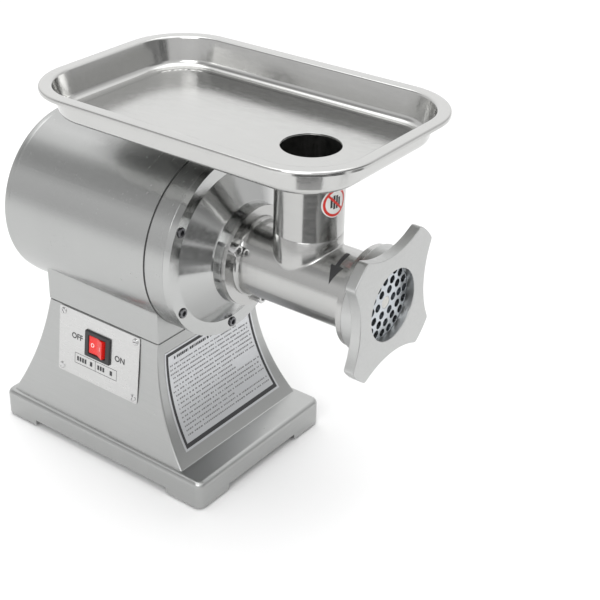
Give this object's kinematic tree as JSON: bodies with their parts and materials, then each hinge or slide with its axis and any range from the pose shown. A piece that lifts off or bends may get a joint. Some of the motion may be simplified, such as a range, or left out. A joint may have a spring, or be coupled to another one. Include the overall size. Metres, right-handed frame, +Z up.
{
  "type": "electric meat grinder",
  "caption": "Electric meat grinder with a round motor on a flared pedestal, a feed screw in a horizontal barrel, a lobed ring nut and a rectangular meat tray.",
  "frame": {"origin": "middle of the base, on the surface that the rubber feet stand on", "axes": "+X along the motor axis towards the grinding head's outlet, +Y away from the switch, +Z up"},
  "size_m": [0.4523, 0.247, 0.4237],
  "materials": {
    "cast_body": "cast aluminium, satin",
    "brushed_body": "turned and brushed aluminium",
    "polished_cover": "turned and polished aluminium",
    "sheet_steel": "zinc-plated sheet",
    "rubber": "matt",
    "zinc_screws": "zinc plated",
    "black_screws": "black oxide",
    "bright_screws": "bright stainless steel",
    "inner_casting": "as cast",
    "bearing_steel": "ground",
    "core_steel": "laminated steel",
    "copper": "enamelled copper wire",
    "gasket": "gasket paper",
    "switch_plate": "satin sheet",
    "black_plastic": "moulded",
    "red_plastic": "translucent red, glossy",
    "label_plate": "printed foil",
    "capacitor": "moulded case",
    "cream_plastic": "moulded",
    "wire": "insulated wire",
    "shaft_steel": "ground",
    "gear_steel": "cut and hardened",
    "fan_plastic": "moulded",
    "head_steel": "brushed stainless steel",
    "auger_cast": "tinned cast iron",
    "knife_steel": "ground",
    "plate_steel": "ground and drilled",
    "ring_cast": "satin casting",
    "tray_steel": "polished stainless sheet",
    "sticker": "printed film",
    "black_print": "printed film"
  },
  "bodies": {
    "housing": {"base_casting": "cast_body", "bottom_plate": "sheet_steel", "rubber_feet": "rubber", "foot_screws": "zinc_screws", "motor_housing": "brushed_body", "housing_bolts": "zinc_screws", "rear_cover": "brushed_body", "rear_cover_screws": "black_screws", "rear_shield": "inner_casting", "rear_bearing": "bearing_steel", "motor_front_bearing": "bearing_steel", "stator_core": "core_steel", "stator_windings": "copper", "case_gasket": "gasket", "gear_case": "brushed_body", "front_cover": "polished_cover", "cover_screws": "black_screws", "gear_carrier": "inner_casting", "carrier_screws": "black_screws", "output_front_bearing": "bearing_steel", "output_rear_bearing": "bearing_steel", "oil_seal": "rubber", "countershaft_bearings": "bearing_steel", "switch_plate": "switch_plate", "switch_plate_screws": "zinc_screws", "switch_body": "black_plastic", "instruction_plate": "label_plate", "cable_gland": "black_plastic", "gland_nut": "black_plastic", "run_capacitor": "capacitor", "capacitor_clip": "sheet_steel", "terminal_block": "cream_plastic", "internal_wiring": "wire", "grinder_head": "head_steel", "feed_tube": "head_steel", "head_bolts": "bright_screws", "plate_pin": "bright_screws", "safety_sticker": "sticker", "direction_arrow": "black_print"},
    "rocker": {"rocker": "red_plastic"},
    "output": {"output_gear": "gear_steel", "output_shaft": "shaft_steel", "output_key": "shaft_steel", "auger": "auger_cast", "cross_knife": "knife_steel"},
    "layshaft": {"countershaft": "gear_steel", "countershaft_gear": "gear_steel"},
    "motor_rotor": {"rotor_core": "core_steel", "motor_shaft": "shaft_steel", "motor_pinion": "gear_steel", "cooling_fan": "fan_plastic"},
    "plate": {"grinding_plate": "plate_steel"},
    "ring_nut": {"ring_nut": "ring_cast"},
    "tray": {"tray": "tray_steel", "tray_spout": "tray_steel"}
  },
  "joints": [
    {"name": "rocker_turn", "type": "hinge", "parent": "housing", "child": "rocker", "pos_m": [-0.012, -0.08193, 0.13092], "axis": [0, 0.1203, 0.9927], "range_deg": [0, 20]},
    {"name": "auger_spin", "type": "hinge", "parent": "housing", "child": "output", "pos_m": [0.1998, 0, 0.257], "axis": [1, 0, 0], "continuous": true},
    {"name": "layshaft_spin", "type": "hinge", "parent": "housing", "child": "layshaft", "pos_m": [0.0725, 0, 0.212], "axis": [1, 0, 0], "continuous": true},
    {"name": "motor_spin", "type": "hinge", "parent": "housing", "child": "motor_rotor", "pos_m": [0, 0, 0.257], "axis": [1, 0, 0], "continuous": true},
    {"name": "plate_slide", "type": "slide", "parent": "housing", "child": "plate", "axis": [1, 0, 0], "range_m": [0, 0.012]},
    {"name": "ring_nut_turn", "type": "hinge", "parent": "plate", "child": "ring_nut", "pos_m": [0.2998, 0, 0.257], "axis": [1, 0, 0], "range_deg": [0, 1080]},
    {"name": "tray_lift", "type": "slide", "parent": "housing", "child": "tray", "axis": [0, 0, 1], "range_m": [0, 0.12]}
  ],
  "couplings": [
    {"joint": "layshaft_spin", "follows": "auger_spin", "ratio": -2.75},
    {"joint": "motor_spin", "follows": "auger_spin", "ratio": 10.45},
    {"joint": "plate_slide", "follows": "ring_nut_turn", "m_per_rad": 0.00063662}
  ]
}
